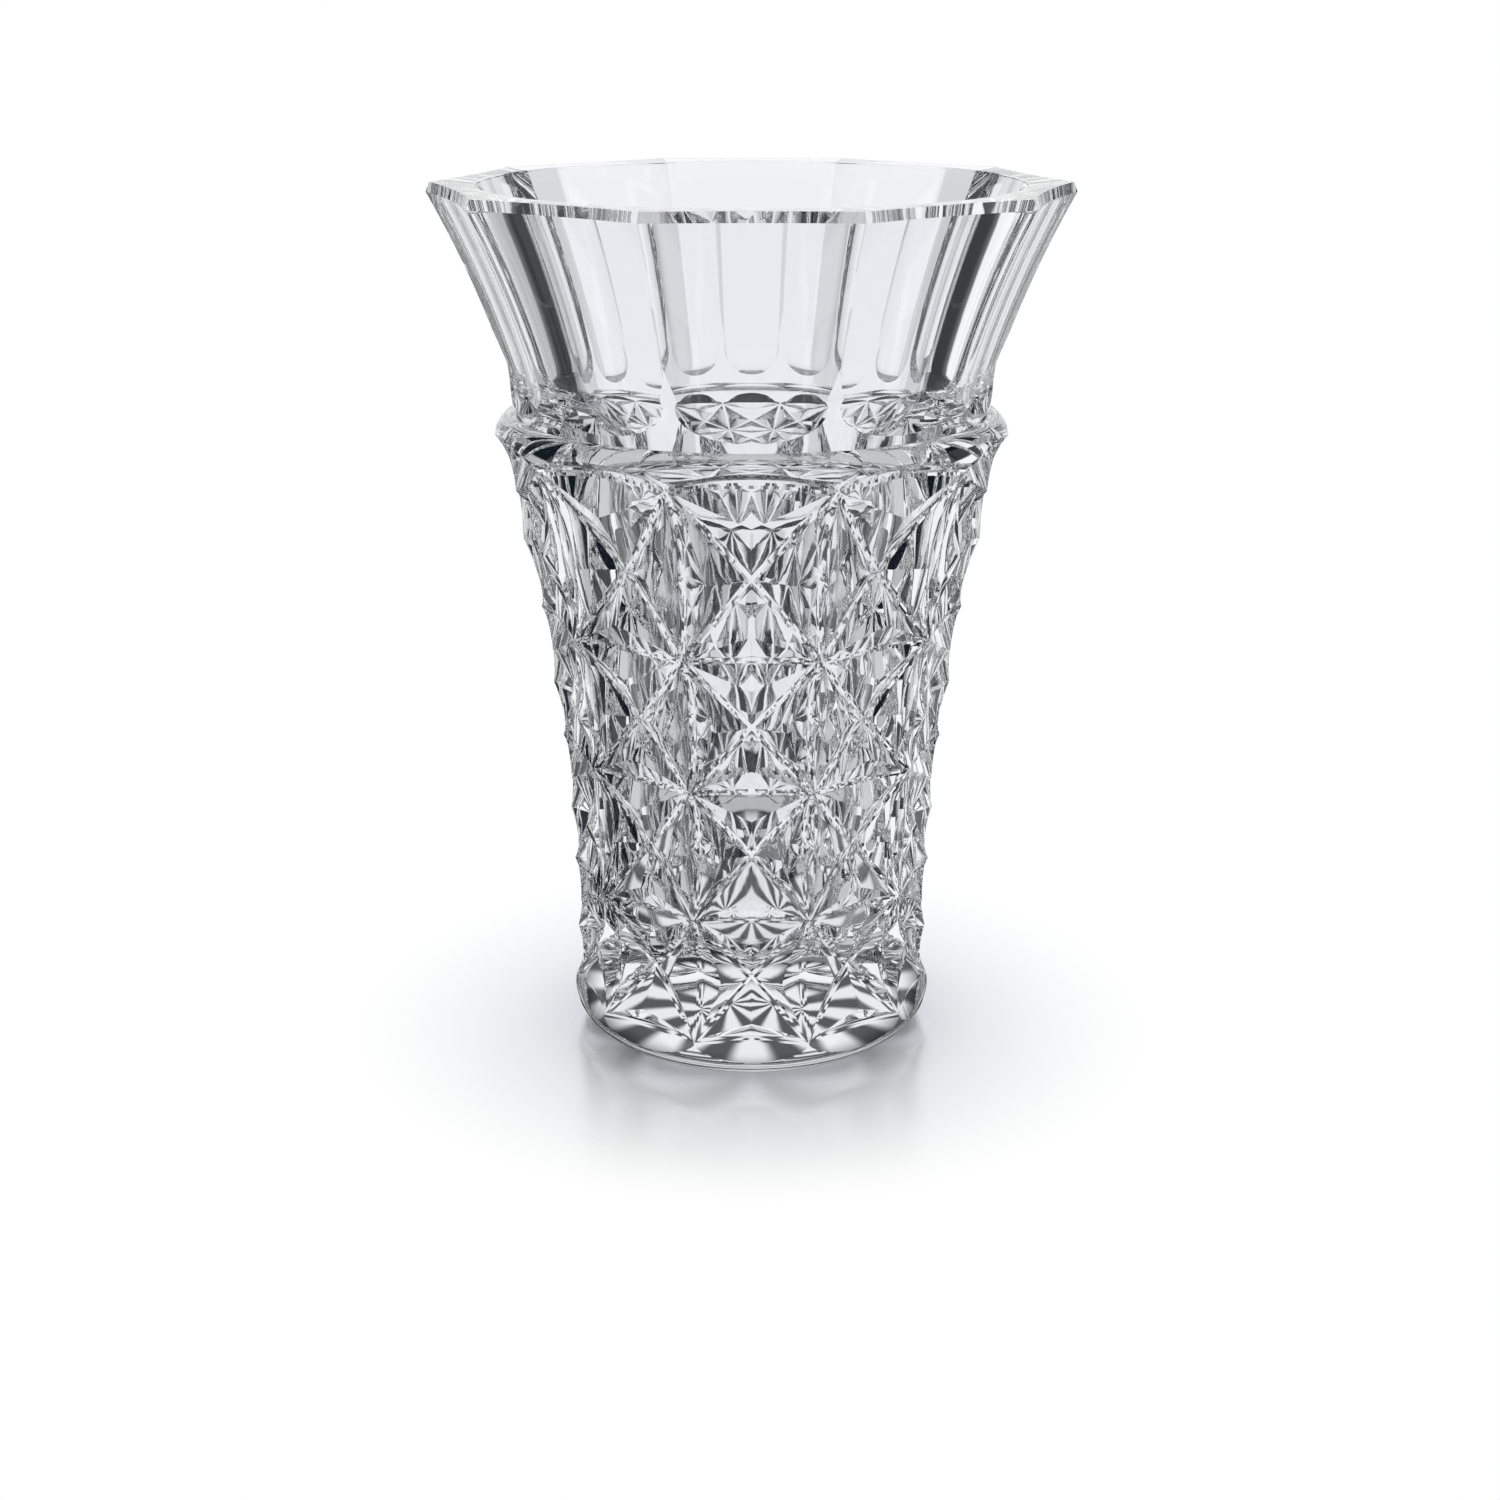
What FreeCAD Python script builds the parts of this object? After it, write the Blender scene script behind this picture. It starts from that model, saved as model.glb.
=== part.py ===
"""Cut crystal vase: one piece of hand-cut lead crystal.

The vase is made the way a glass house makes it.  A round blank is blown with a thick wall and a
heavy base, upright flutes are ground into the mouth, and the body below the collar is cut all
over with V-shaped wheel cuts.  The cuts run from star to star: level cuts and upright cuts join
neighbouring stars, and two slanting cuts cross in the middle of every panel.

Frame: millimetres, +Z up, origin in the middle of the resting face, one panel facing -Y.
"""

import FreeCAD, Part
import math
import os
import Sketcher

NODE = "crystal_vase"

# Driving dimensions: millimetres, and one count.
SIZES = {
    # overall
    "vase_height": 285.0,
    "panel_count": 10,
    # mouth: ten-sided rim and flutes, measured from the axis to the middle of a flute
    "rim_apothem": 95.1,
    "band_apothem": 96.2,
    "band_height": 3.1,
    "flute_sweep": 350.0,
    "flute_foot_apothem": 75.0,
    "flute_foot_height": 228.5,
    "flute_runout": 13.0,
    "flute_end_apothem": 79.5,
    "flute_end_height": 214.0,
    # round blank, from the mouth down to the foot
    "mouth_blank_radius": 103.0,
    "neck_top_radius": 78.9,
    "neck_foot_radius": 77.0,
    "neck_foot_height": 213.2,
    "collar_radius": 82.9,
    "collar_height": 203.0,
    "collar_round": 7.5,
    "body_sweep": 640.0,
    "foot_radius": 61.6,
    "foot_height": 11.0,
    "foot_round": 15.0,
    "resting_radius": 50.5,
    # hollow, from the mouth down to the well
    "hollow_rim_radius": 86.8,
    "mouth_hollow_sweep": 350.0,
    "hollow_neck_radius": 66.0,
    "hollow_neck_height": 226.0,
    "body_hollow_sweep": 1000.0,
    "well_wall_radius": 47.0,
    "well_wall_height": 46.0,
    "well_round": 18.0,
    "well_floor_radius": 31.0,
    "well_floor_height": 30.0,
    # heights of the five rings of stars, and how far every cut stays below the blank's skin
    "skin_removed": 0.5,
    "star_height_0": 202.5,
    "star_height_1": 146.5,
    "star_height_2": 101.6,
    "star_height_3": 56.9,
    "star_height_4": 14.2,
    # level cuts: depth, and how far each opens above and below its ring of stars
    "level_depth_0": 9.0,
    "level_depth_1": 5.4,
    "level_depth_2": 4.8,
    "level_depth_3": 4.4,
    "level_depth_4": 5.2,
    "level_opening_0": 12.0,
    "level_opening_1": 9.5,
    "level_opening_2": 8.8,
    "level_opening_3": 8.3,
    "level_opening_4": 7.4,
    "collar_cut_lift": 1.2,
    "collar_arch_rise": 5.9,
    "foot_arch_drop": 6.2,
    "foot_arch_radius": 60.0,
    # upright cuts and crossings, in the four rows of panels between the rings
    "upright_depth": 6.6,
    "upright_opening": 9.2,
    "crossing_depth_1": 8.6,
    "crossing_depth_2": 5.8,
    "crossing_depth_3": 6.0,
    "crossing_depth_4": 6.9,
}

ROWS = 4  # rows of cut panels, each between two rings of stars
TOOL_REACH = 130.0  # grinding tools end this far from the axis, clear of the glass
TOOL_MARGIN = 20.0  # and this far above the rim
FIELD_BASE = -2 * TOOL_REACH  # the cut field's flanks have met its lower end at this height
MOST_LEFT = 0.99  # the flutes take at least a hundredth of the blank away


class Term:
    """One place in a sketch: a cell of the sheet, less another cell, plus a fixed margin."""

    def __init__(self, alias=None, less=None, margin=0.0):
        self.alias = alias
        self.less = less
        self.margin = margin

    def value(self):
        """The place as a number."""
        return SIZES.get(self.alias, 0.0) - SIZES.get(self.less, 0.0) + self.margin

    def expression(self):
        """The place in terms of the sheet."""
        less = f" - Sizes.{self.less}" if self.less else ""
        return f"Sizes.{self.alias}{less} + {self.margin}"


AXIS = Term()
BASE = Term()
REACH = Term(margin=TOOL_REACH)
ABOVE_RIM = Term("vase_height", margin=TOOL_MARGIN)
BAND_FOOT = Term("vase_height", less="band_height")


def make_sheet(doc):
    """Put the driving dimensions in the document's spreadsheet."""
    sheet = doc.addObject("Spreadsheet::Sheet", "Sizes")
    for row, (alias, size) in enumerate(SIZES.items(), start=1):
        sheet.set(f"A{row}", alias.replace("_", " "))
        sheet.set(f"B{row}", str(size))
        sheet.setAlias(f"B{row}", alias)
    doc.recompute()
    return sheet


def origin_feature(body, role):
    """One of a body's own origin planes or axes."""
    return next(item for item in body.Origin.OriginFeatures if item.Role == role)


def sketch_arc(start, end, radius, hollow):
    """Arc from start to end, counter-clockwise unless hollow, and the two ends' point numbers."""
    chord = end - start
    left = FreeCAD.Vector(-chord.y, chord.x, 0).normalize()
    rise = math.sqrt(radius**2 - (chord.Length / 2) ** 2)
    centre = (start + end) * 0.5 + left * (-rise if hollow else rise)
    first, last = (end, start) if hollow else (start, end)
    angles = [math.atan2(p.y - centre.y, p.x - centre.x) for p in (first, last)]
    circle = Part.Circle(centre, FreeCAD.Vector(0, 0, 1), radius)
    return Part.ArcOfCircle(circle, *angles), ((2, 1) if hollow else (1, 2))


def fix_place(sketch, piece, point, term, kind, own_axis):
    """Tie one coordinate of a sketch point to the sheet, or put it on the sketch's axis."""
    if term.value() == 0.0:
        sketch.addConstraint(Sketcher.Constraint("PointOnObject", piece, point, own_axis))
        return
    place = Sketcher.Constraint(kind, -1, 1, piece, point, term.value())
    index = sketch.addConstraint(place)
    if term.alias:
        sketch.setExpression(f"Constraints[{index}]", term.expression())


def outline_sketch(body, label, plane, outline):
    """Closed outline, counter-clockwise, with its sizes tied to the spreadsheet.

    outline lists the corners as (across, up, bend).  bend is None where a straight line leaves
    the corner, or (alias, hollow) where an arc does; a hollow arc curves into the outline.
    """
    sketch = body.newObject("Sketcher::SketchObject", label)
    sketch.AttachmentSupport = (origin_feature(body, plane), [""])
    sketch.MapMode = "FlatFace"
    corners = [FreeCAD.Vector(across.value(), up.value(), 0) for across, up, _ in outline]
    runs = []
    for index, (_, _, bend) in enumerate(outline):
        start = corners[index]
        end = corners[(index + 1) % len(corners)]
        if bend is None:
            runs.append((sketch.addGeometry(Part.LineSegment(start, end), False), 1, 2))
            continue
        alias, hollow = bend
        arc, points = sketch_arc(start, end, SIZES[alias], hollow)
        runs.append((sketch.addGeometry(arc, False), *points))
    for index, (piece, start_point, _) in enumerate(runs):
        before, _, end_point = runs[index - 1]
        meet = Sketcher.Constraint("Coincident", before, end_point, piece, start_point)
        sketch.addConstraint(meet)
    for (piece, start_point, _), (across, up, bend) in zip(runs, outline):
        fix_place(sketch, piece, start_point, across, "DistanceX", -2)
        fix_place(sketch, piece, start_point, up, "DistanceY", -1)
        if bend is not None:
            index = sketch.addConstraint(Sketcher.Constraint("Radius", piece, SIZES[bend[0]]))
            sketch.setExpression(f"Constraints[{index}]", f"Sizes.{bend[0]}")
    return sketch


def revolve(body, label, sketch):
    """Turn an outline about the vase's axis."""
    turned = body.newObject("PartDesign::Revolution", label)
    turned.Profile = sketch
    turned.ReferenceAxis = (sketch, ["V_Axis"])
    turned.Angle = 360
    return turned


def make_fluted_blank(doc):
    """Round blank with its upright flutes ground into the mouth."""
    body = doc.addObject("PartDesign::Body", "FlutedBlank")
    outline = [
        (AXIS, BASE, None),
        (Term("resting_radius"), BASE, ("foot_round", False)),
        (Term("foot_radius"), Term("foot_height"), ("body_sweep", True)),
        (Term("collar_radius"), Term("collar_height"), ("collar_round", False)),
        (Term("neck_foot_radius"), Term("neck_foot_height"), None),
        (Term("neck_top_radius"), Term("flute_foot_height"), None),
        (Term("mouth_blank_radius"), BAND_FOOT, None),
        (Term("mouth_blank_radius"), Term("vase_height"), None),
        (AXIS, Term("vase_height"), None),
    ]
    blank = revolve(body, "TurnedBlank", outline_sketch(body, "BlankOutline", "XZ_Plane", outline))
    doc.recompute()
    before = body.Shape.Volume
    outline = [
        (Term("flute_end_apothem"), Term("flute_end_height"), None),
        (REACH, Term("flute_end_height"), None),
        (REACH, ABOVE_RIM, None),
        (Term("rim_apothem"), ABOVE_RIM, None),
        (Term("rim_apothem"), Term("vase_height"), None),
        (Term("band_apothem"), BAND_FOOT, ("flute_sweep", False)),
        (Term("flute_foot_apothem"), Term("flute_foot_height"), ("flute_runout", False)),
    ]
    flute = body.newObject("PartDesign::Pocket", "Flute")
    flute.Profile = outline_sketch(body, "FluteOutline", "YZ_Plane", outline)
    flute.Type = 0
    flute.Midplane = True
    flute.Length = 2 * TOOL_REACH
    doc.recompute()
    flutes = body.newObject("PartDesign::PolarPattern", "Flutes")
    flutes.Originals = [flute]
    flutes.Axis = (origin_feature(body, "Z_Axis"), [""])
    flutes.Angle = 360
    flutes.setExpression("Occurrences", "Sizes.panel_count")
    body.Tip = flutes
    doc.recompute()
    if not body.Shape.Volume < before * MOST_LEFT:
        raise RuntimeError("the flutes did not cut the blank")
    return body


def make_hollow(doc):
    """The space inside the vase, carried on above the rim."""
    body = doc.addObject("PartDesign::Body", "Hollow")
    outline = [
        (AXIS, Term("well_floor_height"), None),
        (Term("well_floor_radius"), Term("well_floor_height"), ("well_round", False)),
        (Term("well_wall_radius"), Term("well_wall_height"), ("body_hollow_sweep", True)),
        (Term("hollow_neck_radius"), Term("hollow_neck_height"), ("mouth_hollow_sweep", True)),
        (Term("hollow_rim_radius"), Term("vase_height"), None),
        (Term("hollow_rim_radius"), ABOVE_RIM, None),
        (AXIS, ABOVE_RIM, None),
    ]
    revolve(body, "TurnedHollow", outline_sketch(body, "HollowOutline", "XZ_Plane", outline))
    return body


class CutField:
    """The cut body as a solid of flat facets, computed from the sheet.

    Every cut is a V groove whose bottom runs from star to star.  Two grooves' flanks meet in a
    ridge, and each ridge rises to just below the skin of the blank.
    """

    def __init__(self, sheet):
        self.sheet = sheet
        self.panels = int(sheet.panel_count)
        self.half_panel = math.pi / self.panels
        self.star_heights = [self.size(f"star_height_{ring}") for ring in range(ROWS + 1)]
        self.faces = []

    def size(self, alias):
        """One cell of the sheet as a plain number."""
        return float(getattr(self.sheet, alias))

    def skin(self, height):
        """Radius that the cuts leave at a height of the body, just below the blank's skin."""
        foot = FreeCAD.Vector(self.size("foot_radius"), self.size("foot_height"), 0)
        collar = FreeCAD.Vector(self.size("collar_radius"), self.size("collar_height"), 0)
        sweep = self.size("body_sweep")
        chord = collar - foot
        outward = FreeCAD.Vector(chord.y, -chord.x, 0).normalize()
        centre = (foot + collar) * 0.5 + outward * math.sqrt(sweep**2 - (chord.Length / 2) ** 2)
        blank = centre.x - math.sqrt(sweep**2 - (height - centre.y) ** 2)
        return blank - self.size("skin_removed")

    def at(self, radius, turn, height):
        """Point at a radius and height, turned from the middle of the panel that faces -Y."""
        return FreeCAD.Vector(radius * math.sin(turn), -radius * math.cos(turn), height)

    def star(self, ring, turn):
        """Middle of a star."""
        height = self.star_heights[ring]
        return self.at(self.skin(height), turn, height)

    def level_bottom(self, ring, turn):
        """Deepest point of the level cut between two stars of a ring."""
        height = self.star_heights[ring]
        depth = self.size(f"level_depth_{ring}")
        lift = self.size("collar_cut_lift") if ring == 0 else 0.0
        return self.at(self.skin(height) - depth, turn, height + lift)

    def level_lip(self, ring, turn, side):
        """Ridge point above (side 1) or below (side -1) a level cut."""
        height = self.star_heights[ring] + side * self.size(f"level_opening_{ring}")
        return self.at(self.skin(height), turn, height)

    def crossing_height(self, row):
        """Height where a panel's two slanting cuts cross."""
        upper, lower = self.star_heights[row - 1], self.star_heights[row]
        share = self.skin(upper) / (self.skin(upper) + self.skin(lower))
        return upper + (lower - upper) * share

    def crossing(self, row, turn):
        """Bottom of the slanting cuts where they cross."""
        height = self.crossing_height(row)
        return self.at(self.skin(height) - self.size(f"crossing_depth_{row}"), turn, height)

    def upright_bottom(self, row, turn):
        """Deepest point of the upright cut between two stars."""
        height = (self.star_heights[row - 1] + self.star_heights[row]) / 2
        return self.at(self.skin(height) - self.size("upright_depth"), turn, height)

    def upright_lip(self, row, turn, side):
        """Ridge point beside an upright cut, towards the panel on that side."""
        height = self.crossing_height(row)
        radius = self.skin(height)
        return self.at(radius, turn + side * self.size("upright_opening") / radius, height)

    def facet(self, *points):
        """Add one flat facet."""
        self.faces.append(Part.Face(Part.makePolygon([*points, points[0]])))

    def fan(self, middle, rim):
        """Add the triangles between a point and a chain of points around it."""
        for first, second in zip(rim, rim[1:]):
            self.facet(middle, first, second)

    def cut_panel(self, row, turn):
        """All facets of one panel of a row, with half of each cut that borders it."""
        left, right = turn - self.half_panel, turn + self.half_panel
        upper = [self.star(row - 1, side) for side in (left, right)]
        lower = [self.star(row, side) for side in (left, right)]
        above = self.level_lip(row - 1, turn, -1)
        below = self.level_lip(row, turn, 1)
        beside = [self.upright_lip(row, left, 1), self.upright_lip(row, right, -1)]
        ring = [above, upper[1], beside[1], lower[1], below, lower[0], beside[0], upper[0], above]
        self.fan(self.crossing(row, turn), ring)
        self.fan(self.level_bottom(row - 1, turn), [upper[0], above, upper[1]])
        self.fan(self.level_bottom(row, turn), [lower[0], below, lower[1]])
        self.fan(self.upright_bottom(row, left), [upper[0], beside[0], lower[0]])
        self.fan(self.upright_bottom(row, right), [upper[1], beside[1], lower[1]])

    def flank_height(self, star, bottom, lip, x, y):
        """Height, over a place, of the flat flank through a star, a cut's bottom and its lip."""
        normal = (bottom - star).cross(lip - star)
        return star.z - (normal.x * (x - star.x) + normal.y * (y - star.y)) / normal.z

    def end_flanks(self, ring, turn, lip, end_height):
        """Outer flanks of the first or last level cut, carried past the blank's skin and closed."""
        bottom = self.level_bottom(ring, turn)
        past_skin = self.at(TOOL_REACH, turn, 0)
        middle = FreeCAD.Vector(past_skin)
        edge_middle = self.at(TOOL_REACH, turn, end_height)
        for side in (-1, 1):
            turned = turn + side * self.half_panel
            star = self.star(ring, turned)
            middle.z = self.flank_height(star, bottom, lip, middle.x, middle.y)
            corner = self.at(TOOL_REACH, turned, 0)
            corner.z = self.flank_height(star, bottom, lip, corner.x, corner.y)
            self.facet(star, bottom, middle, corner)
            edge_corner = self.at(TOOL_REACH, turned, end_height)
            self.facet(corner, middle, edge_middle, edge_corner)
        return edge_middle

    def end_cap(self, height):
        """Flat end of the facet solid, far above or below the glass."""
        turns = [step * self.half_panel for step in range(2 * self.panels)]
        self.facet(*[self.at(TOOL_REACH, turn, height) for turn in turns])

    def solid(self):
        """Sew all facets to one closed solid."""
        top = self.size("vase_height") + TOOL_MARGIN
        for panel in range(self.panels):
            turn = 2 * panel * self.half_panel
            for row in range(1, ROWS + 1):
                self.cut_panel(row, turn)
            arch_height = self.star_heights[0] + self.size("collar_arch_rise")
            arch = self.at(self.size("collar_radius"), turn, arch_height)
            self.end_flanks(0, turn, arch, top)
            arch_height = self.star_heights[ROWS] - self.size("foot_arch_drop")
            arch = self.at(self.size("foot_arch_radius"), turn, arch_height)
            self.end_flanks(ROWS, turn, arch, FIELD_BASE)
        self.end_cap(top)
        self.end_cap(FIELD_BASE)
        sewn = Part.Shell(self.faces)
        sewn.sewShape()
        field = Part.Solid(Part.Shell(sewn.Faces))
        if field.Volume < 0:
            field.reverse()
        return field


def make_vase(doc, sheet):
    """Cut the body of the fluted blank, then open the hollow."""
    blank = make_fluted_blank(doc)
    hollow = make_hollow(doc)
    field = doc.addObject("Part::Feature", "CutField")
    field.Shape = CutField(sheet).solid()
    cut_body = doc.addObject("Part::Common", "CutBody")
    cut_body.Base = blank
    cut_body.Tool = field
    vase = doc.addObject("Part::Cut", "Vase")
    vase.Base = cut_body
    vase.Tool = hollow
    vase.Label = NODE
    doc.recompute()
    return vase


def check(doc, parts):
    """Stop before anything is written if an object failed or a part is not one sound solid."""
    for item in doc.Objects:
        if {"Invalid", "Error"} & set(item.State):
            raise RuntimeError(f"{item.Label} did not build")
        if hasattr(item, "Shape") and (item.Shape.isNull() or not item.Shape.isValid()):
            raise RuntimeError(f"{item.Label} has no sound shape")
    for part in parts:
        if len(part.Shape.Solids) != 1:
            raise RuntimeError(f"{part.Label} is {len(part.Shape.Solids)} solids, not one")


def main():
    doc = FreeCAD.newDocument("CutCrystalVase")
    sheet = make_sheet(doc)
    vase = make_vase(doc, sheet)
    check(doc, [vase])
    os.makedirs("parts", exist_ok=True)
    vase.Shape.exportStep(f"parts/{vase.Label}.step")
    box = vase.Shape.optimalBoundingBox()
    print(f"{vase.Label}: {vase.Shape.Volume:.0f} mm3, {len(vase.Shape.Faces)} faces,")
    print(f"{box.XLength:.1f} x {box.YLength:.1f} x {box.ZLength:.1f} mm")


main()
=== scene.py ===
"""Cut crystal vase in a white studio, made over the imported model.

The vase is one solid piece of lead crystal.  It is made here as it is made in the workshop: a
round blank is turned, ten hollow flutes are ground into the mouth, and rings of V cuts are sunk
into the body with biconical wheels, from star to star.  Every cut is a real wheel, so the flanks
are slightly hollow and meet in crisp ridges, and the bottoms keep the wheel's small round.

Frame: metres, +Z up, origin in the middle of the resting face, one panel facing -Y.  The sizes
in the classes are millimetres, the unit of the workshop drawing.
"""

import logging
import math
from dataclasses import dataclass, field
from enum import Enum

import bmesh  # noqa: E402
import bpy  # noqa: E402
from mathutils import Matrix, Vector  # noqa: E402

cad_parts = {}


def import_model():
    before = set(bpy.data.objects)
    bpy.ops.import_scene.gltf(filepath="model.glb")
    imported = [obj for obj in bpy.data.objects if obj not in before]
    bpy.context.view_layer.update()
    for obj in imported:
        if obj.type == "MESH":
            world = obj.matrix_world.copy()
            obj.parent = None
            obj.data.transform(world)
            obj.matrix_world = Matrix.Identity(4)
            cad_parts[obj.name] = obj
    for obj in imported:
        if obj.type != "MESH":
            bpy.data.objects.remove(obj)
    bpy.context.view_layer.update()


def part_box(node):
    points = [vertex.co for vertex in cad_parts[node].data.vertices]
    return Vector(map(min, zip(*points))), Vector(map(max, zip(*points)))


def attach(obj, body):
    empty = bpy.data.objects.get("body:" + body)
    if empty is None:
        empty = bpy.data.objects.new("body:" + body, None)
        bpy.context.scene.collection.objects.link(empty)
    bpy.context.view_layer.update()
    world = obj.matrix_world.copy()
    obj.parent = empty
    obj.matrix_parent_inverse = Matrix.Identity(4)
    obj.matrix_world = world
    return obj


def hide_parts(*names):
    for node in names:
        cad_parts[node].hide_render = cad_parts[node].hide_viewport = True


LOG = logging.getLogger("crystal_vase")

NODE = "crystal_vase"
BODY = "root"
MM = 0.001
MATH = "ShaderNodeMath"
MAP_RANGE = "ShaderNodeMapRange"
SOFT = {"interpolation_type": "SMOOTHSTEP"}
PANELS = 10
HALF_PANEL = math.pi / PANELS


def linear(code: str, alpha: float = 1.0) -> tuple[float, float, float, float]:
    """Turn an sRGB hex colour into the linear values that shaders take.

    Args:
        code: Colour as six hex digits, with or without a hash.
        alpha: Fourth value of the result.

    Returns:
        Linear red, green, blue and alpha.
    """
    parts = [int(code.lstrip("#")[i : i + 2], 16) / 255 for i in (0, 2, 4)]
    values = [p / 12.92 if p <= 0.04045 else ((p + 0.055) / 1.055) ** 2.4 for p in parts]
    return (*values, alpha)


def add_node(
    tree: bpy.types.NodeTree,
    kind: str,
    settings: dict | None = None,
    inputs: dict | None = None,
    links: dict | None = None,
) -> bpy.types.Node:
    """Add a node with its settings, its plain input values and its incoming links.

    Args:
        tree: Node tree that gets the node.
        kind: Blender's name for the node type.
        settings: Node properties by name.
        inputs: Values by input name or number.
        links: Output sockets by the input name or number they feed.

    Returns:
        The new node.
    """
    node = tree.nodes.new(kind)
    for name, value in (settings or {}).items():
        setattr(node, name, value)
    for name, value in (inputs or {}).items():
        node.inputs[name].default_value = value
    for name, source in (links or {}).items():
        tree.links.new(source, node.inputs[name])
    return node


def point_at(radius: float, turn: float, height: float) -> Vector:
    """Place a point around the axis, turned from the panel that faces -Y.

    Args:
        radius: Distance from the axis.
        turn: Turn in radians.
        height: Height over the resting face.

    Returns:
        The point, in the unit of the radius and height.
    """
    return Vector((radius * math.sin(turn), -radius * math.cos(turn), height))


def arc_points(start: Vector, end: Vector, radius: float, hollow: bool, step: float) -> list[Vector]:
    """Points along an arc of an outline, without its end point.

    Args:
        start: First corner as (radius, height).
        end: Next corner.
        radius: Radius of the arc.
        hollow: True where the arc bends to the left of the way from start to end.
        step: Longest run between two points.

    Returns:
        The points from start up to, and without, end.
    """
    chord = end - start
    left = Vector((-chord.y, chord.x)).normalized()
    rise = math.sqrt(radius**2 - (chord.length / 2) ** 2)
    centre = (start + end) / 2 + left * (-rise if hollow else rise)
    first, last = start - centre, end - centre
    sweep = first.angle_signed(last) * -1
    count = max(2, math.ceil(abs(sweep) * radius / step))
    turns = [Matrix.Rotation(sweep * i / count, 2) for i in range(count)]
    return [centre + turn @ first for turn in turns]


@dataclass
class Blank:
    """Turned blank with a thick wall, a collar, a heavy base and a round hollow (mm)."""

    vase_height: float
    mouth_radius: float
    band_height: float = 3.1
    neck_top_radius: float = 78.9
    neck_top_height: float = 228.5
    neck_foot_radius: float = 77.0
    neck_foot_height: float = 213.2
    collar_radius: float = 82.9
    collar_height: float = 203.0
    collar_round: float = 7.5
    body_sweep: float = 640.0
    foot_radius: float = 61.6
    foot_height: float = 11.0
    foot_round: float = 15.0
    resting_radius: float = 50.5
    hollow_rim_radius: float = 86.8
    rim_ease: float = 0.7
    mouth_hollow_sweep: float = 350.0
    hollow_neck_radius: float = 66.0
    hollow_neck_height: float = 226.0
    body_hollow_sweep: float = 1000.0
    well_wall_radius: float = 47.0
    well_wall_height: float = 46.0
    well_round: float = 18.0
    well_floor_radius: float = 31.0
    well_floor_height: float = 30.0
    segments: int = 240
    wall_step: float = 4.5
    round_step: float = 1.2
    rim_step: float = 0.3

    def outside(self) -> list[Vector]:
        """Draw the outside.

        Returns:
            Points as (radius, height), from the resting face up to the rim.
        """
        resting = Vector((self.resting_radius, 0.0))
        foot = Vector((self.foot_radius, self.foot_height))
        collar = Vector((self.collar_radius, self.collar_height))
        neck = Vector((self.neck_foot_radius, self.neck_foot_height))
        points = arc_points(resting, foot, self.foot_round, False, self.round_step)
        points += arc_points(foot, collar, self.body_sweep, True, self.wall_step)
        points += arc_points(collar, neck, self.collar_round, False, self.round_step)
        points += [neck, Vector((self.neck_top_radius, self.neck_top_height))]
        points.append(Vector((self.mouth_radius, self.vase_height - self.band_height)))
        points.append(Vector((self.mouth_radius, self.vase_height)))
        return points

    def inside(self) -> list[Vector]:
        """Draw the hollow.

        Returns:
            Points as (radius, height), from the rim down to the floor of the well.
        """
        rim = Vector((self.hollow_rim_radius, self.vase_height - self.rim_ease))
        neck = Vector((self.hollow_neck_radius, self.hollow_neck_height))
        wall = Vector((self.well_wall_radius, self.well_wall_height))
        floor = Vector((self.well_floor_radius, self.well_floor_height))
        edge = Vector((self.hollow_rim_radius + self.rim_ease, self.vase_height))
        points = arc_points(edge, rim, self.rim_ease, False, self.rim_step)
        points += arc_points(rim, neck, self.mouth_hollow_sweep, False, self.wall_step)
        points += arc_points(neck, wall, self.body_hollow_sweep, False, self.wall_step)
        points += arc_points(wall, floor, self.well_round, True, self.round_step)
        points.append(floor)
        return points

    def build(self) -> bpy.types.Object:
        """Spin the whole outline into one closed mesh, with a vertex at each pole.

        Returns:
            The blank's object.
        """
        mesh = bmesh.new()
        outside, inside = self.outside(), self.inside()
        under = mesh.verts.new((0.0, 0.0, 0.0))
        well = mesh.verts.new((0.0, 0.0, self.well_floor_height * MM))
        turns = [2 * math.pi * i / self.segments for i in range(self.segments)]
        rings = [
            [mesh.verts.new(point_at(p.x, turn, p.y) * MM) for turn in turns]
            for p in outside + inside
        ]
        for lower, upper in zip(rings, rings[1:]):
            for i in range(self.segments):
                j = (i + 1) % self.segments
                mesh.faces.new((lower[i], lower[j], upper[j], upper[i]))
        for i in range(self.segments):
            j = (i + 1) % self.segments
            mesh.faces.new((under, rings[0][j], rings[0][i]))
            mesh.faces.new((well, rings[-1][i], rings[-1][j]))
        data = bpy.data.meshes.new("vase")
        mesh.to_mesh(data)
        mesh.free()
        piece = bpy.data.objects.new("cut_crystal_vase", data)
        bpy.context.scene.collection.objects.link(piece)
        return piece


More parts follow.
